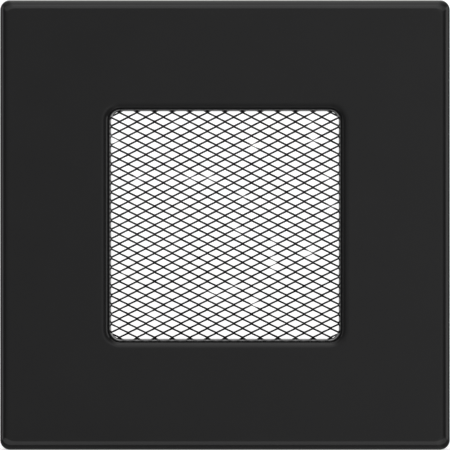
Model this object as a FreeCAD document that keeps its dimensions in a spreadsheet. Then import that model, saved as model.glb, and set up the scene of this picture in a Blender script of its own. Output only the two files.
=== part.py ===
import FreeCAD, Part
import math
import os
from types import SimpleNamespace

import Sketcher
from FreeCAD import Placement, Rotation, Vector

# Square steel ventilation grille. A pressed cover plate with a mesh window pulls off a steel frame that is
# screwed to the wall. Millimetres, +Z up. The plate faces -Y, y = 0 is the wall plane, and the origin is the
# middle of the four wall screws.

DRIVING_SIZES = {
    # cover plate: one sheet, its rim and its window edge both turned back
    "plate_side": 110,
    "plate_gauge": 1,
    "plate_depth": 7,
    "plate_corner": 2.5,
    "rim_bend": 2.4,
    "window_side": 55.8,
    "window_corner": 2.4,
    "window_bend": 2.1,
    "window_depth": 4,
    # expanded-metal panel behind the window
    "mesh_side": 67,
    "mesh_thickness": 0.9,
    "mesh_long_pitch": 4.324,
    "mesh_short_pitch": 2.306,
    "mesh_strand": 0.4,
    # frame that clamps the panel, its tabs welded to the rails
    "clamp_side": 67.6,
    "clamp_window": 58,
    "clamp_gauge": 0.8,
    "clamp_corner": 3,
    "tab_width": 20,
    "tab_reach": 5,
    "tab_corner": 2,
    # dents of the spot welds
    "weld_mark": 3,
    "weld_dent": 0.12,
    "weld_spacing": 10,
    "weld_back": 1.4,
    # L-shaped rails behind the plate
    "rail_inside": 34,
    "rail_gauge": 0.8,
    "rail_foot": 9,
    "rail_length": 66,
    "rail_back": 22,
    "rail_bend": 0.5,
    "rail_corner": 3,
    "rail_weld_spacing": 22,
    # leaf springs on the rails
    "spring_gauge": 0.3,
    "spring_width": 12,
    "spring_start": 16,
    "spring_end": 21.5,
    "leaf_gap": 0.2,
    "leaf_lift": 0.45,
    "root_run": 0.5,
    "root_bend": 3,
    "crest_out": 38.9,
    "crest_back": 2.6,
    "crest_bend": 1.6,
    "tip_out": 37.5,
    "tip_front": 0.4,
    # rivets
    "rivet_shank": 2.4,
    "rivet_hole": 2.5,
    "rivet_head": 4.4,
    "rivet_head_rise": 0.8,
    "rivet_tail": 3.8,
    "rivet_tail_rise": 0.6,
    "rivet_spacing": 7,
    "rivet_back": 18.8,
    # wall frame: sleeve with a flange turned out, plaster lugs and a lapped seam
    "sleeve_inside": 78,
    "sleeve_gauge": 0.8,
    "sleeve_corner": 1.5,
    "sleeve_back": 30,
    "flange_side": 100,
    "flange_corner": 4,
    "flange_bend": 0.5,
    "screw_circle": 90,
    "screw_hole": 4.2,
    "lug_offset": 18,
    "lug_width": 8,
    "lug_reach": 5,
    "lug_back": 21,
    "lug_bend": 0.5,
    "lug_corner": 1.5,
    "lug_relief": 0.6,
    "seam_offset": 30,
    "seam_width": 10,
    "seam_front": 3,
    "seam_rivet_front": 9,
    "seam_rivet_back": 24,
}

# Turns about Y, in degrees, that carry a piece built on the right side to each of the four sides.
SIDES = {"right": 0, "top": -90, "left": 180, "bottom": 90}

# Points closer than this lie in the same place, and a cut has to remove at least this volume.
SAME_PLACE = 1e-4
LEAST_CUT = 0.01


class Size:
    """A size as a number, with the expression that binds it to the sheet."""

    def __init__(self, value, text):
        self.value = value
        self.text = text

    def __neg__(self):
        return Size(-self.value, f"-({self.text})")

    def __add__(self, other):
        other = as_size(other)
        return Size(self.value + other.value, f"({self.text} + {other.text})")

    def __sub__(self, other):
        return self + -as_size(other)

    def __mul__(self, factor):
        return Size(self.value * factor, f"({self.text} * {factor})")

    def __truediv__(self, factor):
        return Size(self.value / factor, f"({self.text} / {factor})")


def as_size(number):
    """Let a bare number stand beside sizes."""
    return number if isinstance(number, Size) else Size(number, str(number))


doc = FreeCAD.newDocument("ventilation_grille")
sheet = doc.addObject("Spreadsheet::Sheet", "Sizes")
for row, (alias, number) in enumerate(DRIVING_SIZES.items(), start=1):
    sheet.set(f"A{row}", alias)
    sheet.set(f"B{row}", str(number))
    sheet.setAlias(f"B{row}", alias)
doc.recompute()
dim = SimpleNamespace(**{alias: Size(float(sheet.get(alias)), f"Sizes.{alias}") for alias in DRIVING_SIZES})
parts = []


# ---------------------------------------------------------------- sketches and features
def new_body(label):
    """Start a sub-part as a body of its own."""
    body = doc.addObject("PartDesign::Body", label)
    body.Label = label
    parts.append(body)
    return body


def origin_feature(body, role):
    """One of the body's own origin planes or axes."""
    for feature in body.Origin.OriginFeatures:
        if feature.Role == role:
            return feature
    raise ValueError(role)


def new_sketch(body, name, plane, offset):
    """A sketch on one of the body's origin planes, moved along the plane's normal."""
    sketch = body.newObject("Sketcher::SketchObject", name)
    sketch.AttachmentSupport = (origin_feature(body, plane), [""])
    sketch.MapMode = "FlatFace"
    sketch.setExpression("AttachmentOffset.Base.z", as_size(offset).text)
    return sketch


def facing_sketch(body, name, y):
    """A sketch parallel to the wall, at a height y. What it drives grows or cuts towards -Y."""
    return new_sketch(body, name, "XZ_Plane", -as_size(y))


def bind(sketch, kind, *place, size):
    """Add a dimension to a sketch and bind it to the sheet."""
    size = as_size(size)
    index = sketch.addConstraint(Sketcher.Constraint(kind, *place, size.value))
    sketch.setExpression(f"Constraints[{index}]", size.text)


def place_point(sketch, geometry, point, across, up):
    """Hold a point of the sketch at two sizes from the sketch's origin."""
    bind(sketch, "DistanceX", -1, 1, geometry, point, size=across)
    bind(sketch, "DistanceY", -1, 1, geometry, point, size=up)


def draw_box(sketch, left, low, right, high):
    """Draw a rectangle between two corners."""
    left, low, right, high = (as_size(side) for side in (left, low, right, high))
    corners = [
        Vector(left.value, low.value, 0),
        Vector(right.value, low.value, 0),
        Vector(right.value, high.value, 0),
        Vector(left.value, high.value, 0),
    ]
    first = sketch.GeometryCount
    for index in range(4):
        sketch.addGeometry(Part.LineSegment(corners[index], corners[(index + 1) % 4]), False)
    for index in range(4):
        joined = first + (index + 1) % 4
        sketch.addConstraint(Sketcher.Constraint("Coincident", first + index, 2, joined, 1))
        direction = "Vertical" if index % 2 else "Horizontal"
        sketch.addConstraint(Sketcher.Constraint(direction, first + index))
    place_point(sketch, first, 1, left, low)
    place_point(sketch, first + 2, 1, right, high)


def draw_rounded_square(sketch, side, corner):
    """Draw a square with round corners about the sketch's origin: lines are even, corner arcs odd."""
    half = side / 2
    inner = half.value - corner.value
    for turn in range(4):
        rotation = Rotation(Vector(0, 0, 1), 90 * turn)
        start = rotation.multVec(Vector(-inner, -half.value, 0))
        end = rotation.multVec(Vector(inner, -half.value, 0))
        circle = Part.Circle(rotation.multVec(Vector(inner, -inner, 0)), Vector(0, 0, 1), corner.value)
        from_angle = math.radians(90 * turn - 90)
        sketch.addGeometry(Part.LineSegment(start, end), False)
        sketch.addGeometry(Part.ArcOfCircle(circle, from_angle, from_angle + math.pi / 2), False)
    for line in range(0, 8, 2):
        arc = line + 1
        sketch.addConstraint(Sketcher.Constraint("Tangent", line, 2, arc, 1))
        sketch.addConstraint(Sketcher.Constraint("Tangent", arc, 2, (arc + 1) % 8, 1))
        if line:
            sketch.addConstraint(Sketcher.Constraint("Equal", 1, arc))
    bind(sketch, "Radius", 1, size=corner)
    for line, direction, distance, sign in (
        (0, "Horizontal", "DistanceY", -1),
        (2, "Vertical", "DistanceX", 1),
        (4, "Horizontal", "DistanceY", 1),
        (6, "Vertical", "DistanceX", -1),
    ):
        sketch.addConstraint(Sketcher.Constraint(direction, line))
        bind(sketch, distance, -1, 1, line, 1, size=half * sign)


def draw_circle(sketch, across, up, diameter):
    """Draw a circle about a point."""
    centre = Vector(as_size(across).value, as_size(up).value, 0)
    circle = Part.Circle(centre, Vector(0, 0, 1), diameter.value / 2)
    index = sketch.addGeometry(circle, False)
    place_point(sketch, index, 3, across, up)
    bind(sketch, "Diameter", index, size=diameter)


def grow(body, sketch, length):
    """Pad a sketch along its normal."""
    pad = body.newObject("PartDesign::Pad", sketch.Name + "_pad")
    pad.Profile = sketch
    pad.setExpression("Length", length.text)
    return pad


def take_away(body, sketch, length):
    """Cut a sketch out along its normal, and make sure that it cut something."""
    doc.recompute()
    before = body.Shape.Volume
    pocket = body.newObject("PartDesign::Pocket", sketch.Name + "_pocket")
    pocket.Profile = sketch
    pocket.Reversed = True
    pocket.setExpression("Length", length.text)
    doc.recompute()
    if body.Shape.Volume > before - LEAST_CUT:
        raise RuntimeError(f"{sketch.Name} cut nothing")
    return pocket


def four_times(body, features):
    """Repeat features on all four sides."""
    doc.recompute()
    pattern = body.newObject("PartDesign::PolarPattern", features[0].Name + "_pattern")
    pattern.Originals = features
    pattern.Axis = (origin_feature(body, "Y_Axis"), [""])
    pattern.Angle = 360
    pattern.Occurrences = 4
    body.Tip = pattern
    doc.recompute()


def round_edges(body, name, chosen, radius):
    """Round the edges of the body that a test picks."""
    doc.recompute()
    base = body.Tip
    names = [f"Edge{index}" for index, edge in enumerate(base.Shape.Edges, start=1) if chosen(edge)]
    if not names:
        raise RuntimeError(f"{name} found no edge")
    fillet = body.newObject("PartDesign::Fillet", name)
    fillet.Base = (base, names)
    fillet.setExpression("Radius", radius.text)
    doc.recompute()


def on_loop(y, side):
    """A test for the edges at a height y that follow the outline of a square of a given side."""

    def chosen(edge):
        points = [vertex.Point for vertex in edge.Vertexes]
        reaches = [max(abs(point.x), abs(point.z)) for point in points]
        level = all(abs(point.y - y.value) < SAME_PLACE for point in points)
        return level and all(abs(reach - side.value / 2) < SAME_PLACE for reach in reaches)

    return chosen


def through(**place):
    """A test for the edges parallel to one axis, given the other two coordinates apart from their sign."""

    def chosen(edge):
        if len(edge.Vertexes) != 2:
            return False
        start, end = (vertex.Point for vertex in edge.Vertexes)
        for axis, size in place.items():
            coordinate = getattr(start, axis)
            if abs(coordinate - getattr(end, axis)) > SAME_PLACE:
                return False
            if abs(abs(coordinate) - abs(size.value)) > SAME_PLACE:
                return False
        return True

    return chosen


def any_of(*tests):
    """A test for the edges that pass at least one of several tests."""

    def chosen(edge):
        return any(test(edge) for test in tests)

    return chosen


# ---------------------------------------------------------------- cover plate, mesh and its clamp
def make_front_plate():
    """Pressed plate: its rim is turned back to the wall, its window edge turned back to the mesh."""
    body = new_body("front_plate")
    outline = facing_sketch(body, "plate_outline", 0)
    draw_rounded_square(outline, dim.plate_side, dim.plate_corner)
    grow(body, outline, dim.plate_depth)
    hollow_side = dim.plate_side - dim.plate_gauge * 2
    hollow = facing_sketch(body, "plate_hollow", 0)
    draw_rounded_square(hollow, hollow_side, dim.plate_corner - dim.plate_gauge)
    take_away(body, hollow, dim.plate_depth - dim.plate_gauge)
    wall_side = dim.window_side + dim.plate_gauge * 2
    wall = facing_sketch(body, "window_wall", dim.window_depth - dim.plate_depth)
    draw_rounded_square(wall, wall_side, dim.window_corner + dim.plate_gauge)
    grow(body, wall, dim.window_depth)
    window = facing_sketch(body, "window", 0)
    draw_rounded_square(window, dim.window_side, dim.window_corner)
    take_away(body, window, dim.plate_depth)

    face = -dim.plate_depth
    behind = face + dim.plate_gauge
    round_edges(body, "rim_inner_bend", on_loop(behind, hollow_side), dim.rim_bend - dim.plate_gauge)
    round_edges(body, "window_inner_bend", on_loop(behind, wall_side), dim.window_bend - dim.plate_gauge)
    round_edges(body, "rim_outer_bend", on_loop(face, dim.plate_side), dim.rim_bend)
    round_edges(body, "window_outer_bend", on_loop(face, dim.window_side), dim.window_bend)


def make_mesh_panel():
    """Expanded metal: a square panel cut into diamonds in staggered rows, with a crossing at its middle."""
    half_side = dim.mesh_side.value / 2
    half_long = dim.mesh_long_pitch.value / 2
    half_short = dim.mesh_short_pitch.value / 2
    front = dim.window_depth.value - dim.plate_depth.value
    # Half a strand off each side makes every diamond smaller in the same proportion.
    side_distance = half_long * half_short / math.hypot(half_long, half_short)
    shrink = 1 - dim.mesh_strand.value / 2 / side_distance
    across = Vector(half_long * shrink, 0, 0)
    up = Vector(0, 0, half_short * shrink)
    columns = int(half_side / half_long) + 1
    rows = int(half_side / half_short) + 1
    diamonds = []
    for column in range(-columns, columns + 1):
        for row in range(-rows, rows + 1):
            if (column + row) % 2:
                centre = Vector(column * half_long, front, row * half_short)
                corners = [centre - across, centre - up, centre + across, centre + up, centre - across]
                diamonds.append(Part.Face(Part.makePolygon(corners)))
    signs = ((-1, -1), (1, -1), (1, 1), (-1, 1), (-1, -1))
    outline = Part.makePolygon([Vector(x * half_side, front, z * half_side) for x, z in signs])
    lattice = Part.Face(outline).cut(Part.makeCompound(diamonds))
    panel = doc.addObject("Part::Feature", "mesh_panel")
    panel.Shape = lattice.Faces[0].extrude(Vector(0, dim.mesh_thickness.value, 0))
    panel.Placement = Placement()
    panel.Label = "mesh_panel"
    parts.append(panel)


def make_mesh_clamp_frame():
    """Flat frame behind the mesh, with a tab on each side turned back against the rail."""
    body = new_body("mesh_clamp_frame")
    back = dim.window_depth - dim.plate_depth + dim.mesh_thickness + dim.clamp_gauge
    ring = facing_sketch(body, "clamp_outline", back)
    draw_rounded_square(ring, dim.clamp_side, dim.clamp_gauge)
    grow(body, ring, dim.clamp_gauge)
    opening = facing_sketch(body, "clamp_opening", back)
    draw_rounded_square(opening, dim.clamp_window, dim.clamp_corner)
    take_away(body, opening, dim.clamp_gauge)
    inside = dim.rail_inside - dim.clamp_gauge
    tab = facing_sketch(body, "clamp_tab", back + dim.tab_reach)
    draw_box(tab, inside, -dim.tab_width / 2, dim.rail_inside, dim.tab_width / 2)
    tab_pad = grow(body, tab, dim.tab_reach + dim.clamp_gauge)
    welds = new_sketch(body, "tab_welds", "YZ_Plane", inside)
    draw_circle(welds, dim.weld_back, -dim.weld_spacing / 2, dim.weld_mark)
    draw_circle(welds, dim.weld_back, dim.weld_spacing / 2, dim.weld_mark)
    four_times(body, [tab_pad, take_away(body, welds, dim.weld_dent)])
    tab_end = back + dim.tab_reach
    half_width = dim.tab_width / 2
    tab_corners = any_of(through(y=tab_end, z=half_width), through(y=tab_end, x=half_width))
    round_edges(body, "tab_corners", tab_corners, dim.tab_corner)


# ---------------------------------------------------------------- rails, springs and rivets
def set_side(part, side):
    """Turn a piece built on the right side to the side where it belongs."""
    part.Placement = Placement(Vector(0, 0, 0), Rotation(Vector(0, 1, 0), SIDES[side]))


def draw_rivet_holes(sketch):
    """Draw the two rivet holes that a spring and its rail share."""
    draw_circle(sketch, dim.rivet_back, -dim.rivet_spacing / 2, dim.rivet_hole)
    draw_circle(sketch, dim.rivet_back, dim.rivet_spacing / 2, dim.rivet_hole)


def make_rail(side):
    """L-shaped rail: its foot is spot-welded behind the plate, its web reaches into the wall frame."""
    body = new_body(f"rail_{side}")
    front = dim.plate_gauge - dim.plate_depth
    outside = dim.rail_inside + dim.rail_gauge
    end = dim.rail_length / 2
    web = new_sketch(body, f"rail_web_{side}", "XY_Plane", -end)
    draw_box(web, dim.rail_inside, front, outside, dim.rail_back)
    grow(body, web, dim.rail_length)
    foot = new_sketch(body, f"rail_foot_{side}", "XY_Plane", -end)
    draw_box(foot, dim.rail_inside, front, dim.rail_inside + dim.rail_foot, front + dim.rail_gauge)
    grow(body, foot, dim.rail_length)
    holes = new_sketch(body, f"rail_holes_{side}", "YZ_Plane", dim.rail_inside)
    draw_rivet_holes(holes)
    take_away(body, holes, dim.rail_gauge)
    inner_bend = through(x=outside, y=front + dim.rail_gauge)
    round_edges(body, f"rail_inner_bend_{side}", inner_bend, dim.rail_bend)
    outer_bend = through(x=dim.rail_inside, y=front)
    round_edges(body, f"rail_outer_bend_{side}", outer_bend, dim.rail_bend + dim.rail_gauge)
    round_edges(body, f"rail_web_corners_{side}", through(y=dim.rail_back, z=end), dim.rail_corner)
    foot_corners = through(x=dim.rail_inside + dim.rail_foot, z=end)
    round_edges(body, f"rail_foot_corners_{side}", foot_corners, dim.rail_corner)
    welds = facing_sketch(body, f"rail_welds_{side}", front + dim.rail_gauge)
    weld_out = dim.rail_inside + (dim.rail_foot + dim.rail_gauge) / 2
    for up in (-dim.rail_weld_spacing, as_size(0), dim.rail_weld_spacing):
        draw_circle(welds, weld_out, up, dim.weld_mark)
    take_away(body, welds, dim.weld_dent)
    set_side(body, side)


def make_spring_foot(side):
    """The flat end of a leaf spring, riveted to the outside of the rail's web."""
    body = new_body(f"spring_foot_{side}")
    face = dim.rail_inside + dim.rail_gauge
    half_width = dim.spring_width / 2
    plate = new_sketch(body, f"spring_plate_{side}", "YZ_Plane", face)
    draw_box(plate, dim.spring_start, -half_width, dim.spring_end, half_width)
    grow(body, plate, dim.spring_gauge)
    holes = new_sketch(body, f"spring_holes_{side}", "YZ_Plane", face)
    draw_rivet_holes(holes)
    take_away(body, holes, dim.spring_gauge)
    set_side(body, side)


def draw_leaf_line(sketch, root_x, root_y):
    """Draw a leaf's middle line: straight root, bend out, long run, crest, and a tip that turns in."""
    root_bend = dim.root_bend.value
    crest_bend = dim.crest_bend.value
    root = Vector(root_x.value, root_y.value, 0)
    bend_start = root - Vector(0, dim.root_run.value, 0)
    root_centre = bend_start + Vector(root_bend, 0, 0)
    crest_centre_x = dim.crest_out - dim.spring_gauge / 2 - dim.crest_bend
    crest_centre = Vector(crest_centre_x.value, dim.crest_back.value, 0)
    tip = Vector(dim.tip_out.value, -dim.tip_front.value, 0)

    # The run is the line that touches both bends on opposite sides, and the tip's line touches the crest.
    between = crest_centre - root_centre
    slope = math.atan2(between.y, between.x) + math.acos(-(root_bend + crest_bend) / between.Length)
    to_tip = tip - crest_centre
    turn_in = math.atan2(-to_tip.y, to_tip.x) - math.acos(crest_bend / to_tip.Length)
    run_start = root_centre - Vector(math.cos(slope), math.sin(slope), 0) * root_bend
    run_end = crest_centre + Vector(math.cos(slope), math.sin(slope), 0) * crest_bend
    tip_start = crest_centre + Vector(math.cos(turn_in), -math.sin(turn_in), 0) * crest_bend

    upwards = Vector(0, 0, 1)
    sketch.addGeometry(Part.LineSegment(root, bend_start), False)
    root_circle = Part.Circle(root_centre, upwards, root_bend)
    sketch.addGeometry(Part.ArcOfCircle(root_circle, math.pi, math.pi + slope), False)
    sketch.addGeometry(Part.LineSegment(run_start, run_end), False)
    crest_circle = Part.Circle(crest_centre, upwards, crest_bend)
    sketch.addGeometry(Part.ArcOfCircle(crest_circle, -turn_in, slope), False)
    sketch.addGeometry(Part.LineSegment(tip_start, tip), False)

    sketch.addConstraint(Sketcher.Constraint("Vertical", 0))
    sketch.addConstraint(Sketcher.Constraint("Tangent", 0, 2, 1, 1))
    sketch.addConstraint(Sketcher.Constraint("Tangent", 1, 2, 2, 1))
    sketch.addConstraint(Sketcher.Constraint("Tangent", 2, 2, 3, 2))
    sketch.addConstraint(Sketcher.Constraint("Tangent", 3, 1, 4, 1))
    place_point(sketch, 0, 1, root_x, root_y)
    bind(sketch, "DistanceY", 0, 2, 0, 1, size=dim.root_run)
    bind(sketch, "Radius", 1, size=dim.root_bend)
    bind(sketch, "Radius", 3, size=dim.crest_bend)
    place_point(sketch, 3, 3, crest_centre_x, dim.crest_back)
    place_point(sketch, 4, 2, dim.tip_out, -dim.tip_front)


def make_spring_leaf(side):
    """The leaf that presses on the sleeve: a flat strip bent out to a crest, its tip turned in."""
    body = new_body(f"spring_leaf_{side}")
    root_x = dim.rail_inside + dim.rail_gauge + dim.leaf_lift
    root_y = dim.spring_start - dim.leaf_gap
    path = new_sketch(body, f"leaf_line_{side}", "XY_Plane", 0)
    draw_leaf_line(path, root_x, root_y)
    section = facing_sketch(body, f"leaf_section_{side}", root_y)
    half_gauge = dim.spring_gauge / 2
    half_width = dim.spring_width / 2
    draw_box(section, root_x - half_gauge, -half_width, root_x + half_gauge, half_width)
    doc.recompute()
    pipe = body.newObject("PartDesign::AdditivePipe", f"leaf_strip_{side}")
    pipe.Profile = section
    pipe.Spine = (path, [f"Edge{index}" for index in range(1, path.GeometryCount + 1)])
    set_side(body, side)


def make_rivet(name, inner, outer, y, z):
    """One rivet along X: its grip runs from inner to outer, with a turned tail and a sloping head."""
    shank = doc.addObject("Part::Cylinder", f"{name}_shank")
    shank.setExpression("Radius", (dim.rivet_shank / 2).text)
    shank.setExpression("Height", (outer - inner).text)
    tail = doc.addObject("Part::Cylinder", f"{name}_tail")
    tail.setExpression("Radius", (dim.rivet_tail / 2).text)
    tail.setExpression("Height", dim.rivet_tail_rise.text)
    head = doc.addObject("Part::Cone", f"{name}_head")
    head.setExpression("Radius1", (dim.rivet_head / 2).text)
    head.setExpression("Radius2", (dim.rivet_shank / 2).text)
    head.setExpression("Height", dim.rivet_head_rise.text)
    for piece, start in ((shank, inner), (tail, inner - dim.rivet_tail_rise), (head, outer)):
        piece.Placement = Placement(Vector(0, 0, 0), Rotation(Vector(0, 1, 0), 90))
        piece.setExpression("Placement.Base.x", start.text)
        piece.setExpression("Placement.Base.y", y.text)
        piece.setExpression("Placement.Base.z", z.text)
    rivet = doc.addObject("Part::MultiFuse", name)
    rivet.Shapes = [shank, tail, head]
    return rivet


def make_rivet_pair(label, side, inner, outer, places):
    """Two rivets as separate solids of one sub-part."""
    pair = doc.addObject("Part::Compound", label)
    pair.Links = [
        make_rivet(f"{label}_{number}", inner, outer, y, z) for number, (y, z) in enumerate(places, start=1)
    ]
    pair.Label = label
    parts.append(pair)
    set_side(pair, side)


def make_spring_rivets(side):
    """The rivets that hold a spring's foot to its rail."""
    outer = dim.rail_inside + dim.rail_gauge + dim.spring_gauge
    half_spacing = dim.rivet_spacing / 2
    places = [(dim.rivet_back, -half_spacing), (dim.rivet_back, half_spacing)]
    make_rivet_pair(f"spring_rivets_{side}", side, dim.rail_inside, outer, places)


# ---------------------------------------------------------------- wall frame
def make_wall_frame():
    """Sleeve bent from one strip, with a screw flange, lugs cut and bent out for plaster, and a lap."""
    body = new_body("wall_frame")
    half_inside = dim.sleeve_inside / 2
    sleeve_side = dim.sleeve_inside + dim.sleeve_gauge * 2
    sleeve_length = dim.sleeve_back + dim.sleeve_gauge
    sleeve = facing_sketch(body, "sleeve_outline", dim.sleeve_back)
    draw_rounded_square(sleeve, sleeve_side, dim.sleeve_corner + dim.sleeve_gauge)
    grow(body, sleeve, sleeve_length)
    flange = facing_sketch(body, "flange_outline", 0)
    draw_rounded_square(flange, dim.flange_side, dim.flange_corner)
    grow(body, flange, dim.sleeve_gauge)
    bore = facing_sketch(body, "sleeve_bore", dim.sleeve_back)
    draw_rounded_square(bore, dim.sleeve_inside, dim.sleeve_corner)
    take_away(body, bore, sleeve_length)
    round_edges(body, "flange_inner_bend", on_loop(as_size(0), sleeve_side), dim.flange_bend)
    flange_face = -dim.sleeve_gauge
    outer_bend = dim.flange_bend + dim.sleeve_gauge
    round_edges(body, "flange_outer_bend", on_loop(flange_face, dim.sleeve_inside), outer_bend)

    screw = facing_sketch(body, "screw_hole", 0)
    draw_circle(screw, dim.screw_circle / 2, 0, dim.screw_hole)
    four_times(body, [take_away(body, screw, dim.sleeve_gauge)])

    lug_front = dim.lug_back - dim.sleeve_gauge
    root_front = lug_front - dim.lug_bend - dim.lug_relief
    slot = new_sketch(body, "lug_window", "YZ_Plane", half_inside)
    root = new_sketch(body, "lug_root", "YZ_Plane", half_inside)
    lug = new_sketch(body, "lug", "YZ_Plane", half_inside)
    for centre in (-dim.lug_offset, dim.lug_offset):
        low = centre - dim.lug_width / 2
        high = centre + dim.lug_width / 2
        slot_back = dim.lug_back + dim.lug_reach
        draw_box(slot, root_front, low - dim.lug_relief, slot_back, high + dim.lug_relief)
        draw_box(root, root_front, low, dim.lug_back, high)
        draw_box(lug, lug_front, low, dim.lug_back, high)
    slot_cut = take_away(body, slot, dim.sleeve_gauge)
    root_pad = grow(body, root, dim.sleeve_gauge)
    lug_pad = grow(body, lug, dim.sleeve_gauge + dim.lug_reach)
    four_times(body, [slot_cut, root_pad, lug_pad])
    outside = half_inside + dim.sleeve_gauge
    inner_bends = any_of(through(x=outside, y=lug_front), through(z=outside, y=lug_front))
    round_edges(body, "lug_inner_bends", inner_bends, dim.lug_bend)
    outer_bends = any_of(through(x=half_inside, y=dim.lug_back), through(z=half_inside, y=dim.lug_back))
    round_edges(body, "lug_outer_bends", outer_bends, dim.lug_bend + dim.sleeve_gauge)
    lug_end = outside + dim.lug_reach
    lug_sides = (dim.lug_offset - dim.lug_width / 2, dim.lug_offset + dim.lug_width / 2)
    lug_corners = [through(x=lug_end, z=lug_side) for lug_side in lug_sides]
    lug_corners += [through(z=lug_end, x=lug_side) for lug_side in lug_sides]
    round_edges(body, "lug_corners", any_of(*lug_corners), dim.lug_corner)

    lap = new_sketch(body, "seam_lap", "YZ_Plane", outside)
    low = dim.seam_offset - dim.seam_width / 2
    draw_box(lap, dim.seam_front, low, dim.sleeve_back, low + dim.seam_width)
    grow(body, lap, dim.sleeve_gauge)
    holes = new_sketch(body, "seam_holes", "YZ_Plane", half_inside)
    draw_circle(holes, dim.seam_rivet_front, dim.seam_offset, dim.rivet_hole)
    draw_circle(holes, dim.seam_rivet_back, dim.seam_offset, dim.rivet_hole)
    take_away(body, holes, dim.sleeve_gauge * 2)
    set_side(body, "bottom")


def make_wall_frame_rivets():
    """The rivets that close the sleeve's lapped seam."""
    inner = dim.sleeve_inside / 2
    outer = inner + dim.sleeve_gauge * 2
    places = [(dim.seam_rivet_front, dim.seam_offset), (dim.seam_rivet_back, dim.seam_offset)]
    make_rivet_pair("wall_frame_rivets", "bottom", inner, outer, places)


make_front_plate()
make_mesh_panel()
make_mesh_clamp_frame()
for side_name in SIDES:
    make_rail(side_name)
    make_spring_foot(side_name)
    make_spring_leaf(side_name)
    make_spring_rivets(side_name)
make_wall_frame()
make_wall_frame_rivets()
doc.recompute()

for item in doc.Objects:
    if "Invalid" in item.State or "Error" in item.State:
        raise RuntimeError(f"{item.Label} did not recompute")
for part in parts:
    if part.Shape.isNull() or not part.Shape.isValid():
        raise RuntimeError(f"{part.Label} has no valid shape")

os.makedirs("parts", exist_ok=True)
for part in parts:
    part.Shape.exportStep(f"parts/{part.Label}.step")
    print(part.Label, len(part.Shape.Solids), round(part.Shape.Volume, 2))
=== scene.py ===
import math

import bpy
from mathutils import Matrix, Vector, noise


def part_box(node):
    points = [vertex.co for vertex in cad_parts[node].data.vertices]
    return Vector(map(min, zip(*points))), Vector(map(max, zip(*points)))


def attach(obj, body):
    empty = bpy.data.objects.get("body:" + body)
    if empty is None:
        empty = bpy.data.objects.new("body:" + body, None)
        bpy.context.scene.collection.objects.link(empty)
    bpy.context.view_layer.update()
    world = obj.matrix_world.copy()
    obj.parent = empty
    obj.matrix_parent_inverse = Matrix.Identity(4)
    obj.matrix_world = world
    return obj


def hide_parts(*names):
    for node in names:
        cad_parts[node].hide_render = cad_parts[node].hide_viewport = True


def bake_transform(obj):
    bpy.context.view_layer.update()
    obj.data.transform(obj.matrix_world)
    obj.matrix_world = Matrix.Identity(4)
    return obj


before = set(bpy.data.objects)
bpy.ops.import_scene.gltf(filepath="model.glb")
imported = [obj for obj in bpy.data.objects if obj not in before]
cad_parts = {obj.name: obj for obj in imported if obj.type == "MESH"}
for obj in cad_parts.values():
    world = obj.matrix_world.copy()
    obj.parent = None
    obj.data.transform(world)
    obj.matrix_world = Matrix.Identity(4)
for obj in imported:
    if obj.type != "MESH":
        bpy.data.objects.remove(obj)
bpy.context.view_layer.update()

# Ventilation grille: cover plate and mesh in front, wall frame with its sleeve behind.
# Metres, +Z up, and the plate faces -Y. A piece that repeats on four sides is built on the right
# side and turned about Y.

MM = 0.001
SIDES = {"right": 0, "top": -90, "left": 180, "bottom": 90}

# Sizes of the sheet pieces in millimetres: a half side is measured from the middle of the grille,
# a depth from the wall plane, where it is negative in front. Angles are in degrees.
PLATE_LOW, PLATE_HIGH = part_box("front_plate")
PLATE_HALF = PLATE_HIGH.x / MM
PLATE_FRONT = PLATE_LOW.y / MM
MESH_LOW, MESH_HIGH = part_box("mesh_panel")
MESH_HALF = MESH_HIGH.x / MM
MESH_MIDDLE = (MESH_LOW.y + MESH_HIGH.y) / 2 / MM
WINDOW_END = MESH_LOW.y / MM
WINDOW_HALF = 27.9
PLATE_GAUGE = 1.0
RIM_BEND = 2.4
RIM_CORNER = 2.5
FACE_CORNER = 1.9
FACE_HOLD = 0.06
LIP_BEND = 2.1
LIP_DRAFT = 6
LIP_CORNER = 2.4
BEND_STEPS = 10
CUT_ROUND = 0.12


# ---------------------------------------------------------------- mesh helpers
def make_piece(name, points, faces, sharp_degrees=35):
    """A mesh piece from points in millimetres, smooth but for its sharp edges."""
    mesh = bpy.data.meshes.new(name)
    mesh.from_pydata([Vector(point) * MM for point in points], [], faces)
    mesh.validate()
    mesh.shade_smooth()
    mesh.set_sharp_from_angle(angle=math.radians(sharp_degrees))
    piece = bpy.data.objects.new(name, mesh)
    bpy.context.scene.collection.objects.link(piece)
    return piece


def turn_piece(piece, side):
    """Turn a piece built on the right side to the side where it belongs."""
    piece.data.transform(Matrix.Rotation(math.radians(SIDES[side]), 4, "Y"))


def loop_faces(first, second, count, closed=True):
    """Quads between two runs of points with the same count."""
    steps = count if closed else count - 1
    return [
        (first + step, first + (step + 1) % count, second + (step + 1) % count, second + step)
        for step in range(steps)
    ]


def arc_points(centre, radius, start, end, steps):
    """Points on an arc in a plane, angles in degrees."""
    points = []
    for step in range(steps + 1):
        angle = math.radians(start + (end - start) * step / steps)
        points.append((centre[0] + radius * math.cos(angle), centre[1] + radius * math.sin(angle)))
    return points


def rounded_square(half, corner, depth, corner_steps=12, side_steps=6):
    """A closed loop round a square with round corners, parallel to the wall."""
    loop = []
    inner = half - corner
    for turn in range(4):
        rotation = Matrix.Rotation(math.radians(90 * turn), 2)
        corner_run = arc_points((inner, inner), corner, 0, 90, corner_steps)
        side_run = [(inner - 2 * inner * step / side_steps, half) for step in range(1, side_steps)]
        for across, up in corner_run + side_run:
            point = rotation @ Vector((across, up))
            loop.append((point.x, depth, point.y))
    return loop


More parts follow.
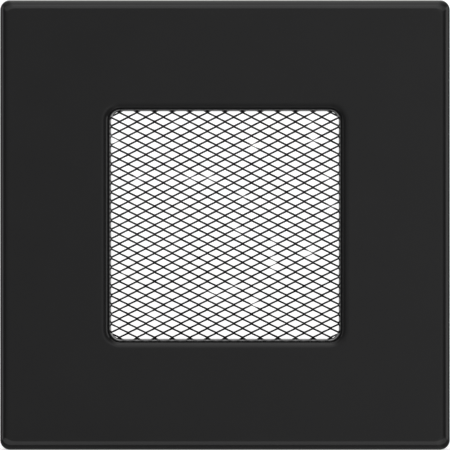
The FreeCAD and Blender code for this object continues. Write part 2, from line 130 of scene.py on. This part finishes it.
def square_shell(name, profile):
    """A closed sheet swept round the four sides. Each profile step is (half side, depth, corner radius)."""
    loops = [rounded_square(half, corner, depth) for half, depth, corner in profile]
    count = len(loops[0])
    points = [point for loop in loops for point in loop]
    faces = []
    for index in range(len(loops)):
        following = (index + 1) % len(loops)
        faces += loop_faces(index * count, following * count, count)
    return make_piece(name, points, faces)


# ---------------------------------------------------------------- front plate
def blend_value(start, end, share):
    """A value part of the way from one to another."""
    return start + (end - start) * share


def rim_stretch(radius, corner_start, corner_end, backwards=False):
    """The rim bend in section, with the plan corner that goes with each point of it."""
    centre = (PLATE_HALF - RIM_BEND, PLATE_FRONT + RIM_BEND)
    arc = arc_points(centre, radius, 0, -90, BEND_STEPS)
    stretch = [
        (half, depth, blend_value(corner_start, corner_end, step / BEND_STEPS))
        for step, (half, depth) in enumerate(arc)
    ]
    return stretch[::-1] if backwards else stretch


def lip_stretch(offset, backwards=False):
    """The drawn lip in section: a bend from the face, then a wall with draft down to the mesh."""
    lean = math.radians(LIP_DRAFT)
    wall_start = PLATE_FRONT + LIP_BEND * (1 - math.sin(lean))
    foot = WINDOW_HALF + offset / math.cos(lean)
    centre_x = WINDOW_HALF + math.tan(lean) * (WINDOW_END - wall_start) + LIP_BEND * math.cos(lean)
    centre = (centre_x, PLATE_FRONT + LIP_BEND)
    section = arc_points(centre, LIP_BEND - offset, -90, LIP_DRAFT - 180, BEND_STEPS)
    cut = CUT_ROUND if offset == 0 else -CUT_ROUND
    section += [(foot, WINDOW_END - CUT_ROUND), (foot + cut, WINDOW_END)]
    stretch = [(half, depth, LIP_CORNER + half - WINDOW_HALF) for half, depth in section]
    return stretch[::-1] if backwards else stretch


def make_front_plate():
    """Pressed plate with a full rim bend, a drawn window lip and returned edges.

    The face holds its shape through a narrow flat strip next to each bend.
    """
    inner_corner = RIM_CORNER - PLATE_GAUGE
    outside_lip = lip_stretch(0)
    lip_start, _, lip_start_corner = outside_lip[0]
    profile = [(PLATE_HALF - CUT_ROUND, 0, RIM_CORNER - CUT_ROUND), (PLATE_HALF, -CUT_ROUND, RIM_CORNER)]
    profile += rim_stretch(RIM_BEND, RIM_CORNER, FACE_CORNER)
    profile.append((PLATE_HALF - RIM_BEND - FACE_HOLD, PLATE_FRONT, FACE_CORNER + FACE_HOLD))
    profile.append((lip_start + FACE_HOLD, PLATE_FRONT, lip_start_corner + FACE_HOLD))
    profile += outside_lip
    profile += lip_stretch(PLATE_GAUGE, backwards=True)
    profile += rim_stretch(RIM_BEND - PLATE_GAUGE, inner_corner, FACE_CORNER - PLATE_GAUGE, backwards=True)
    profile.append((PLATE_HALF - PLATE_GAUGE, -CUT_ROUND, inner_corner))
    profile.append((PLATE_HALF - PLATE_GAUGE + CUT_ROUND, 0, inner_corner + CUT_ROUND))
    piece = square_shell("cover_plate", profile)
    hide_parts("front_plate")
    return piece


# ---------------------------------------------------------------- expanded metal
# A strand swings forwards and back on its way from bond to bond. Its width is slightly uneven, and
# small where a slow noise is high.
LONG_PITCH = 4.324
SHORT_PITCH = 2.306
STRAND_WIDTH = 0.43
STRAND_DEPTH = 0.44
STRAND_CHAMFER = 0.1
STRAND_SWING = 0.2
STRAND_STEPS = 4
BOND_HALF = 0.1
BOND_OVERLAP = 0.2
PANEL_TRIM = 0.05
UNEVEN_SCALE = 0.9
UNEVEN_OFFSET = Vector((0, 40, 0))
UNEVEN_AMOUNT = 0.1
THIN_SCALE = 0.21
THIN_LEVEL = 0.42
THIN_AMOUNT = 2.25
THINNEST = 0.5


def strand_row(row):
    """The middle line of one zigzag row of strands, from bond to bond, clipped to the panel."""
    half_long = LONG_PITCH / 2
    half_short = SHORT_PITCH / 2
    low = row * half_short
    reach = STRAND_WIDTH / 2 - BOND_OVERLAP / 2
    last = int(MESH_HALF / half_long) + 1
    corners = []
    for bond in range(-last, last + 1):
        height = low + reach if (bond + row) % 2 == 0 else low + half_short - reach
        corners.append((bond * half_long - BOND_HALF, height))
        corners.append((bond * half_long + BOND_HALF, height))
    line = []
    for (start, start_up), (end, end_up) in zip(corners, corners[1:]):
        steps = STRAND_STEPS if start_up != end_up else 1
        for step in range(steps):
            share = step / steps
            line.append((blend_value(start, end, share), blend_value(start_up, end_up, share)))
    line.append(corners[-1])
    edge = MESH_HALF - PANEL_TRIM
    inside = [point for point in line if abs(point[0]) < edge]
    before = line[line.index(inside[0]) - 1]
    after = line[line.index(inside[-1]) + 1]
    for cut, near, place in ((before, inside[0], 0), (after, inside[-1], len(inside) + 1)):
        target = math.copysign(edge, near[0])
        share = (target - near[0]) / (cut[0] - near[0])
        inside.insert(place, (target, blend_value(near[1], cut[1], share)))
    return inside


def strand_share(across, up):
    """The part of its full width that a strand has at a place on the panel."""
    spot = Vector((across, 0, up))
    uneven = noise.noise(spot * UNEVEN_SCALE + UNEVEN_OFFSET)
    thin = max(0, noise.noise(spot * THIN_SCALE) - THIN_LEVEL)
    return max(1 + UNEVEN_AMOUNT * uneven - THIN_AMOUNT * thin, THINNEST)


def make_mesh_panel():
    """Expanded metal: rows of zigzag strands that join at their bonds."""
    half_short = SHORT_PITCH / 2
    wide = STRAND_WIDTH / 2
    deep = STRAND_DEPTH / 2
    narrow = wide - STRAND_CHAMFER
    section = [(wide, 0), (narrow, -deep), (-narrow, -deep), (-wide, 0), (-narrow, deep), (narrow, deep)]
    count = len(section)
    points = []
    faces = []
    rows = int(MESH_HALF / half_short)
    for row in range(-rows, rows):
        line = strand_row(row)
        first = len(points)
        for index, (across, up) in enumerate(line):
            before = Vector(line[max(index - 1, 0)])
            after = Vector(line[min(index + 1, len(line) - 1)])
            direction = (after - before).normalized()
            sideways = Vector((-direction.y, direction.x))
            share = (up - row * half_short) / half_short
            middle = MESH_MIDDLE + STRAND_SWING * math.cos(math.pi * share)
            width = strand_share(across, up)
            for offset, depth in section:
                offset *= width
                points.append((across + sideways.x * offset, middle + depth, up + sideways.y * offset))
        for index in range(len(line) - 1):
            start = first + index * count
            faces += loop_faces(start, start + count, count)
        faces.append(tuple(first + index for index in reversed(range(count))))
        last = first + (len(line) - 1) * count
        faces.append(tuple(last + index for index in range(count)))
    piece = make_piece("expanded_metal", points, faces, sharp_degrees=50)
    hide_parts("mesh_panel")
    return piece


# ---------------------------------------------------------------- springs and rivets
SPRING_GAUGE = 0.3
SPRING_HALF_WIDTH = 6.0
SPRING_CORNER = 1.6
ROOT_BEND = 3.0
RUN_SLOPE = 16.2
CREST_BEND = 1.6
CREST_DEPTH = 2.6
SPRING_TIP = Vector((37.5, -0.4))
FOOT_STEPS = 14
ROOT_STEPS = 5
RUN_STEPS = 6
CREST_STEPS = 8
TIP_STEPS = 8


def spring_line():
    """The middle line of a leaf spring: foot on the rail, bend out, run, crest, and tip turned in."""
    foot_low, foot_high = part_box("spring_foot_right")
    leaf_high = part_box("spring_leaf_right")[1]
    foot_x = (foot_low.x + foot_high.x) / 2 / MM
    crest_centre = Vector((leaf_high.x / MM - SPRING_GAUGE / 2 - CREST_BEND, CREST_DEPTH))
    slope = math.radians(RUN_SLOPE)
    run_end = crest_centre + Vector((math.cos(slope), math.sin(slope))) * CREST_BEND
    heading = Vector((-math.sin(slope), math.cos(slope)))
    fold = run_end + heading * ((foot_x - run_end.x) / heading.x)
    root_depth = fold.y + ROOT_BEND * math.tan(slope / 2)
    foot_start = foot_high.y / MM
    line = [(foot_x, blend_value(foot_start, root_depth, step / FOOT_STEPS)) for step in range(FOOT_STEPS)]
    line += arc_points((foot_x + ROOT_BEND, root_depth), ROOT_BEND, 180, 180 + RUN_SLOPE, ROOT_STEPS)
    run_start = Vector(line[-1])
    line += [tuple(run_start.lerp(run_end, step / RUN_STEPS)) for step in range(1, RUN_STEPS)]
    to_tip = SPRING_TIP - crest_centre
    turn_in = math.degrees(math.atan2(-to_tip.y, to_tip.x) - math.acos(CREST_BEND / to_tip.length))
    line += arc_points(crest_centre, CREST_BEND, RUN_SLOPE, -turn_in, CREST_STEPS)
    tip_start = Vector(line[-1])
    line += [tuple(tip_start.lerp(SPRING_TIP, step / TIP_STEPS)) for step in range(1, TIP_STEPS + 1)]
    return [Vector(point) for point in line]


def make_leaf_spring(side):
    """One strip of spring steel, with round corners at both ends, bent between the cover and its leaf."""
    line = spring_line()
    distances = [0.0]
    for before, after in zip(line, line[1:]):
        distances.append(distances[-1] + (after - before).length)
    total = distances[-1]
    points = []
    faces = []
    half_gauge = SPRING_GAUGE / 2
    for index, middle in enumerate(line):
        direction = (line[min(index + 1, len(line) - 1)] - line[max(index - 1, 0)]).normalized()
        outwards = Vector((-direction.y, direction.x)) * half_gauge
        from_end = min(distances[index], total - distances[index], SPRING_CORNER)
        missing = SPRING_CORNER - math.sqrt(SPRING_CORNER**2 - (SPRING_CORNER - from_end) ** 2)
        half_width = SPRING_HALF_WIDTH - missing
        for sign, edge in ((1, half_width), (1, -half_width), (-1, -half_width), (-1, half_width)):
            points.append((middle.x + sign * outwards.x, middle.y + sign * outwards.y, edge))
    for index in range(len(line) - 1):
        faces += loop_faces(index * 4, index * 4 + 4, 4)
    faces.append((3, 2, 1, 0))
    end = (len(line) - 1) * 4
    faces.append((end, end + 1, end + 2, end + 3))
    piece = make_piece(f"leaf_spring_{side}", points, faces)
    turn_piece(piece, side)
    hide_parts(f"spring_foot_{side}", f"spring_leaf_{side}")
    return piece


def lathe(profile, steps=28):
    """Points and faces of a turned solid about X. The profile runs from axis to axis as (along, radius)."""
    points = [(profile[0][0], 0, 0)]
    faces = []
    for along, radius in profile[1:-1]:
        for step in range(steps):
            angle = 2 * math.pi * step / steps
            points.append((along, radius * math.cos(angle), radius * math.sin(angle)))
    points.append((profile[-1][0], 0, 0))
    rings = len(profile) - 2
    for step in range(steps):
        following = (step + 1) % steps
        faces.append((0, 1 + following, 1 + step))
        faces.append((len(points) - 1, 1 + (rings - 1) * steps + step, 1 + (rings - 1) * steps + following))
    for ring in range(rings - 1):
        faces += loop_faces(1 + ring * steps, 1 + (ring + 1) * steps, steps)
    return points, faces


# A blind rivet in section, each step as (rise from the sheet, radius). The set end is inside and the
# head outside. The head's rim comes first, then its dome, and last its hollow with the stub of the pin.
RIVET_SHANK = 1.2
RIVET_HEAD = 2.2
RIVET_RIM = 0.14
RIVET_DOME = 0.8
RIVET_DOME_SHARES = (0.9, 0.78, 0.64, 0.5)
RIVET_SET_END = [(0.35, 0), (0.35, 0.5), (0.6, 0.62), (0.6, 1.35), (0.5, 1.7), (0.25, 1.9), (0.02, 1.85)]
RIVET_HEAD_RIM = [(0.02, 2.16), (RIVET_RIM, RIVET_HEAD)]
RIVET_HOLLOW = [(0.77, 0.87), (0.45, 0.75), (0.42, 0.65), (0.56, 0.57), (0.56, 0)]
SPRING_RIVET_DEPTH = 18.8
SPRING_RIVET_REACH = 3.5
SEAM_RIVET_PLACES = [(9, 30), (24, 30)]
SEAM_INSIDE = 39
SEAM_OUTSIDE = 40.6


def rivet_profile(inner, outer):
    """A blind rivet from its set end to its head, round the sheets between two levels."""
    profile = [(inner - rise, radius) for rise, radius in RIVET_SET_END]
    profile += [(inner, RIVET_SHANK), (outer, RIVET_SHANK)]
    head = list(RIVET_HEAD_RIM)
    full_height = math.sqrt(1 - RIVET_DOME_SHARES[-1] ** 2)
    for share in RIVET_DOME_SHARES:
        height = math.sqrt(1 - share**2) / full_height
        head.append((blend_value(RIVET_RIM, RIVET_DOME, height), RIVET_HEAD * share))
    head += RIVET_HOLLOW
    return profile + [(outer + rise, radius) for rise, radius in head]


def make_rivets(node, inner, outer, places, side):
    """A group of rivets that stand for one CAD node, at places given as (depth, distance along)."""
    points = []
    faces = []
    for depth, up in places:
        first = len(points)
        rivet_points, rivet_faces = lathe(rivet_profile(inner, outer))
        points += [(x, y + depth, z + up) for x, y, z in rivet_points]
        faces += [tuple(first + index for index in face) for face in rivet_faces]
    piece = make_piece(f"{node}_set", points, faces, sharp_degrees=40)
    turn_piece(piece, side)
    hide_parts(node)
    return piece


# ---------------------------------------------------------------- materials
class Shader:
    """A procedural material under construction."""

    def __init__(self, name):
        self.material = bpy.data.materials.new(name)
        self.material.use_nodes = True
        self.tree = self.material.node_tree
        self.surface = self.tree.nodes["Principled BSDF"]
        self.place = self.tree.nodes.new("ShaderNodeTexCoord").outputs["Object"]

    def node(self, kind, links=(), **values):
        """Add a node, link its inputs and set its values."""
        node = self.tree.nodes.new(kind)
        for name, value in values.items():
            if name in node.inputs:
                node.inputs[name].default_value = value
            else:
                setattr(node, name, value)
        for name, source in links:
            self.tree.links.new(source, node.inputs[name])
        return node

    def stretch(self, scale):
        """Object coordinates, stretched."""
        mapping = self.node("ShaderNodeMapping", [("Vector", self.place)])
        mapping.inputs["Scale"].default_value = scale
        return mapping.outputs["Vector"]

    def noise(self, scale, detail=2.0, roughness=0.5, place=None):
        """Soft noise, with a scale in cycles per metre."""
        node = self.node("ShaderNodeTexNoise", [("Vector", place or self.place)])
        node.inputs["Scale"].default_value = scale
        node.inputs["Detail"].default_value = detail
        node.inputs["Roughness"].default_value = roughness
        return node.outputs["Fac"]

    def remap(self, source, low, high, from_low=0.3, from_high=0.7):
        """A value moved from one range to another."""
        node = self.node("ShaderNodeMapRange", [("Value", source)])
        node.inputs["From Min"].default_value = from_low
        node.inputs["From Max"].default_value = from_high
        node.inputs["To Min"].default_value = low
        node.inputs["To Max"].default_value = high
        return node.outputs["Result"]

    def mix(self, factor, first, second):
        """A colour between two others. The first one can also be another node's output."""
        node = self.node("ShaderNodeMix", data_type="RGBA")
        if isinstance(first, tuple):
            node.inputs["A"].default_value = (*first, 1)
        else:
            self.tree.links.new(first, node.inputs["A"])
        node.inputs["B"].default_value = (*second, 1)
        self.tree.links.new(factor, node.inputs["Factor"])
        return node.outputs["Result"]

    def bump(self, height, distance, strength=1.0, normal=None):
        """A bump of a height in metres, on top of an earlier one."""
        node = self.node("ShaderNodeBump", [("Height", height)])
        node.inputs["Distance"].default_value = distance
        node.inputs["Strength"].default_value = strength
        if normal:
            self.tree.links.new(normal, node.inputs["Normal"])
        return node.outputs["Normal"]

    def drive(self, socket, source):
        """Let a node's output drive a socket of the surface."""
        self.tree.links.new(source, self.surface.inputs[socket])

    def fix(self, **values):
        """Set sockets of the surface to fixed values."""
        for name, value in values.items():
            self.surface.inputs[name.replace("_", " ")].default_value = value


def powder_coat(name, dark, light, roughness, peel, specular=0.5):
    """Black powder coat: fine orange peel of a height in metres, slow changes of gloss and of black."""
    shader = Shader(name)
    slow = shader.noise(90, 3)
    fine = shader.noise(1500, 2)
    grain = shader.noise(5200, 1)
    shader.drive("Base Color", shader.mix(slow, dark, light))
    shader.drive("Roughness", shader.remap(slow, roughness - 0.03, roughness + 0.04))
    normal = shader.bump(fine, peel)
    shader.drive("Normal", shader.bump(grain, peel * 0.15, normal=normal))
    shader.fix(Specular_IOR_Level=specular)
    return shader.material


def galvanised(name):
    """Hot-dip zinc: ragged spangles, each with its own brightness and grain, under a dull film."""
    shader = Shader(name)
    ragged = shader.node("ShaderNodeTexNoise", [("Vector", shader.place)], Scale=1100, Detail=3)
    shift = shader.node("ShaderNodeVectorMath", [(0, ragged.outputs["Color"])], operation="MULTIPLY_ADD")
    shift.inputs[1].default_value = (0.0022, 0.0022, 0.0022)
    shader.tree.links.new(shader.place, shift.inputs[2])
    spangle = shader.node("ShaderNodeTexVoronoi", [("Vector", shift.outputs["Vector"])], Scale=230)
    own = shader.node("ShaderNodeSeparateColor", [("Color", spangle.outputs["Color"])])
    angle = shader.remap(own.outputs["Red"], 0, 2 * math.pi, 0, 1)
    turned = shader.node("ShaderNodeVectorRotate", [("Vector", shader.place), ("Angle", angle)])
    turned.inputs["Axis"].default_value = (0.5, 0.62, 0.6)
    drawn = shader.node("ShaderNodeMapping", [("Vector", turned.outputs["Vector"])])
    drawn.inputs["Scale"].default_value = (1, 0.1, 0.1)
    grain = shader.noise(4200, 2, place=drawn.outputs["Vector"])
    film = shader.noise(70, 4)
    tone = shader.mix(own.outputs["Green"], (0.44, 0.45, 0.465), (0.6, 0.61, 0.62))
    veined = shader.mix(shader.remap(grain, 0, 0.35), tone, (0.38, 0.39, 0.405))
    shader.drive("Base Color", shader.mix(shader.remap(film, 0, 0.4), veined, (0.4, 0.405, 0.41)))
    shader.drive("Roughness", shader.remap(own.outputs["Blue"], 0.32, 0.44, 0, 1))
    shader.drive("Normal", shader.bump(grain, 0.0000025))
    shader.fix(Metallic=1.0)
    return shader.material


def rolled_steel(name, dark, light, roughness):
    """Bare spring strip: drawn lines along its length and a faint blue-brown temper bloom."""
    shader = Shader(name)
    lines = shader.noise(3000, 2, place=shader.stretch((1, 0.02, 1)))
    bloom = shader.noise(160, 2)
    shader.drive("Base Color", shader.mix(bloom, dark, light))
    shader.drive("Roughness", shader.remap(lines, roughness - 0.06, roughness + 0.08))
    shader.drive("Normal", shader.bump(lines, 0.000004))
    shader.fix(Metallic=1.0)
    return shader.material


def set_aluminium(name):
    """Rivets: pale aluminium with small handling marks."""
    shader = Shader(name)
    marks = shader.noise(2400, 3)
    shader.drive("Base Color", shader.mix(marks, (0.62, 0.62, 0.63), (0.78, 0.78, 0.78)))
    shader.drive("Roughness", shader.remap(marks, 0.26, 0.42))
    shader.drive("Normal", shader.bump(marks, 0.000006))
    shader.fix(Metallic=1.0)
    return shader.material


def give(piece, material, body=None):
    """Give a new piece its material and its body."""
    piece.data.materials.clear()
    piece.data.materials.append(material)
    if body:
        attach(piece, body)


# ---------------------------------------------------------------- the object
def build_object():
    """The cover with its springs, the wall frame, and what each of them is made of."""
    plate_coat = powder_coat(
        "plate_coat", dark=(0.0075, 0.0075, 0.0078), light=(0.0095, 0.0095, 0.0098),
        roughness=0.13, peel=0.000005,
    )
    mesh_coat = powder_coat(
        "mesh_coat", dark=(0.004, 0.004, 0.0042), light=(0.006, 0.006, 0.0063),
        roughness=0.3, peel=0.000006, specular=0.05,
    )
    inner_coat = powder_coat(
        "inner_coat", dark=(0.011, 0.011, 0.0115), light=(0.02, 0.02, 0.0205),
        roughness=0.42, peel=0.00002,
    )
    zinc = galvanised("zinc")
    spring_steel = rolled_steel(
        "spring_steel", dark=(0.2, 0.2, 0.215), light=(0.34, 0.335, 0.33), roughness=0.32,
    )
    rivet_metal = set_aluminium("rivet_metal")

    give(make_front_plate(), plate_coat, "cover")
    give(make_mesh_panel(), mesh_coat, "cover")
    rail_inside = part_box("rail_right")[0].x / MM
    foot_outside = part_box("spring_foot_right")[1].x / MM
    rivet_places = [(SPRING_RIVET_DEPTH, -SPRING_RIVET_REACH), (SPRING_RIVET_DEPTH, SPRING_RIVET_REACH)]
    for side in SIDES:
        spring = make_leaf_spring(side)
        give(spring, spring_steel)
        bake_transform(spring)
        rivets = make_rivets(f"spring_rivets_{side}", rail_inside, foot_outside, rivet_places, side)
        give(rivets, rivet_metal, "cover")
        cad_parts[f"rail_{side}"].material_slots[0].material = inner_coat
    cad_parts["mesh_clamp_frame"].material_slots[0].material = inner_coat
    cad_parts["wall_frame"].material_slots[0].material = zinc
    rivets = make_rivets("wall_frame_rivets", SEAM_INSIDE, SEAM_OUTSIDE, SEAM_RIVET_PLACES, "bottom")
    give(rivets, rivet_metal, "wall_frame")


# ---------------------------------------------------------------- stage, light and camera
# Metres from here on.
FLOOR_HALF = 4.0
FLOOR_GAP = 0.0001
DOME_STRENGTH = 3.75
BACKGROUND_SEEN = 1.1
SIDE_LIGHT_HEIGHT = 0.15
EDGE_LIGHT_OVERHANG = 0.01
CAMERA_DISTANCE = 0.5
CAMERA_FILL = 449.55 / 450
SENSOR_WIDTH = 36


def make_floor():
    """A plain pale floor that the plate's lower edge stands on, overexposed and never mirrored."""
    level = PLATE_LOW.z - FLOOR_GAP
    mesh = bpy.data.meshes.new("floor")
    signs = ((-1, -1), (1, -1), (1, 1), (-1, 1))
    corners = [(FLOOR_HALF * across, FLOOR_HALF * back, level) for across, back in signs]
    mesh.from_pydata(corners, [], [(0, 1, 2, 3)])
    floor = bpy.data.objects.new("floor", mesh)
    bpy.context.scene.collection.objects.link(floor)
    shader = Shader("floor_paint")
    shader.drive("Base Color", shader.mix(shader.noise(12, 2), (0.93, 0.93, 0.93), (0.95, 0.95, 0.95)))
    shader.fix(Roughness=0.9, Emission_Color=(1, 1, 1, 1), Emission_Strength=0.6)
    mesh.materials.append(shader.material)
    floor.visible_glossy = False


def ramp(tree, source, steps):
    """A level that follows a value from -1 to 1 through a few steps of (value, level)."""
    place = tree.nodes.new("ShaderNodeMapRange")
    place.inputs["From Min"].default_value = -1
    tree.links.new(source, place.inputs["Value"])
    levels = tree.nodes.new("ShaderNodeValToRGB")
    tree.links.new(place.outputs["Result"], levels.inputs["Fac"])
    elements = levels.color_ramp.elements
    while len(elements) < len(steps):
        elements.new(0.5)
    for element, (value, level) in zip(elements, steps):
        element.position = (value + 1) / 2
        element.color = (level, level, level, 1)
    return levels.outputs["Color"]


def calculate(tree, operation, *terms):
    """A sum or product of levels and numbers."""
    node = tree.nodes.new("ShaderNodeMath")
    node.operation = operation
    for place, term in enumerate(terms):
        if isinstance(term, float):
            node.inputs[place].default_value = term
        else:
            tree.links.new(term, node.inputs[place])
    return node.outputs["Value"]


def make_world():
    """A soft studio: pale side walls, light boxes overhead of a limited reach, brighter behind.

    It is white when looked at, because the camera's own rays see an even background.
    """
    world = bpy.data.worlds.new("studio")
    bpy.context.scene.world = world
    world.use_nodes = True
    tree = world.node_tree
    direction = tree.nodes.new("ShaderNodeSeparateXYZ")
    tree.links.new(tree.nodes.new("ShaderNodeTexCoord").outputs["Generated"], direction.inputs["Vector"])
    boxes = ramp(tree, direction.outputs["Z"], [
        (-1.0, 0.0), (0.15, 0.0), (0.26, 0.03), (0.42, 0.12), (0.62, 0.16), (0.74, 0.3), (0.82, 0.53),
        (0.93, 0.27), (1.0, 0.43),
    ])
    reach = ramp(tree, direction.outputs["X"], [
        (-1.0, 0.15), (-0.5, 0.25), (-0.3, 0.5), (-0.14, 1.0), (0.14, 1.0), (0.3, 0.5), (0.5, 0.25),
        (1.0, 0.15),
    ])
    walls = ramp(tree, direction.outputs["X"], [
        (-1.0, 0.068), (-0.88, 0.055), (-0.5, 0.095), (-0.12, 0.09), (0.0, 0.105), (0.13, 0.12),
        (0.2, 0.15), (0.36, 0.15), (0.47, 0.1), (0.6, 0.068), (0.8, 0.06), (1.0, 0.08),
    ])
    fall = ramp(tree, direction.outputs["Y"], [
        (-1.0, 1.0), (-0.9, 0.85), (-0.78, 0.7), (-0.62, 0.55), (0.6, 0.5), (0.8, 0.9), (1.0, 1.5),
    ])
    lit = calculate(tree, "MULTIPLY_ADD", boxes, reach, walls)
    dome = calculate(tree, "MULTIPLY", calculate(tree, "MULTIPLY", lit, fall), DOME_STRENGTH)
    shown = tree.nodes.new("ShaderNodeMix")
    shown.inputs["B"].default_value = BACKGROUND_SEEN
    seen_by_camera = tree.nodes.new("ShaderNodeLightPath").outputs["Is Camera Ray"]
    tree.links.new(seen_by_camera, shown.inputs["Factor"])
    tree.links.new(dome, shown.inputs["A"])
    tree.links.new(shown.outputs["Result"], tree.nodes["Background"].inputs["Strength"])
    tree.nodes["Background"].inputs["Color"].default_value = (1, 1, 1, 1)


def make_area_light(name, width, height, radiance):
    """A rectangular light with a given brightness, still to be placed and turned."""
    data = bpy.data.lights.new(name, "AREA")
    data.shape = "RECTANGLE"
    data.size = width
    data.size_y = height
    data.energy = radiance * math.pi * width * height
    light = bpy.data.objects.new(name, data)
    bpy.context.scene.collection.objects.link(light)
    return light


def make_side_light(name, azimuth, width, height, distance, radiance):
    """A tall soft light that looks at the object from one side."""
    light = make_area_light(name, width, height, radiance)
    angle = math.radians(azimuth)
    light.location = (distance * math.sin(angle), -distance * math.cos(angle), SIDE_LIGHT_HEIGHT)
    light.rotation_euler = (-light.location).to_track_quat("-Z", "Y").to_euler()


def make_edge_light(name, level, turn, near, far, radiance):
    """A narrow strip across the front of the plate, seen only as a reflection in the nearest bend."""
    width = PLATE_HIGH.x - PLATE_LOW.x + 2 * EDGE_LIGHT_OVERHANG
    light = make_area_light(name, width, far - near, radiance)
    light.location = (0, PLATE_LOW.y - (near + far) / 2, level)
    light.rotation_euler = (math.radians(turn), 0, 0)
    light.visible_camera = False
    light.visible_diffuse = False


def make_camera():
    """Straight in front, level with the middle of the plate, whose outline nearly fills the view."""
    nearest = CAMERA_DISTANCE + PLATE_LOW.y + RIM_BEND * MM
    data = bpy.data.cameras.new("camera")
    data.sensor_width = SENSOR_WIDTH
    data.lens = SENSOR_WIDTH / 2 * nearest * CAMERA_FILL / PLATE_HIGH.x
    camera = bpy.data.objects.new("camera", data)
    camera.location = (0, -CAMERA_DISTANCE, 0)
    camera.rotation_euler = (math.radians(90), 0, 0)
    bpy.context.scene.collection.objects.link(camera)
    bpy.context.scene.camera = camera


build_object()
make_floor()
make_world()
make_side_light("side_light_right", azimuth=86, width=0.66, height=0.8, distance=0.9, radiance=0.7)
make_side_light("side_light_left", azimuth=-93, width=0.38, height=0.8, distance=0.9, radiance=0.7)
make_edge_light("edge_light_low", PLATE_LOW.z + 0.00002, turn=180, near=0.0008, far=0.009, radiance=0.5)
make_edge_light("edge_light_high", PLATE_HIGH.z + 0.003, turn=0, near=0.003, far=0.017, radiance=0.38)
make_camera()
bpy.context.scene.view_settings.view_transform = "Standard"
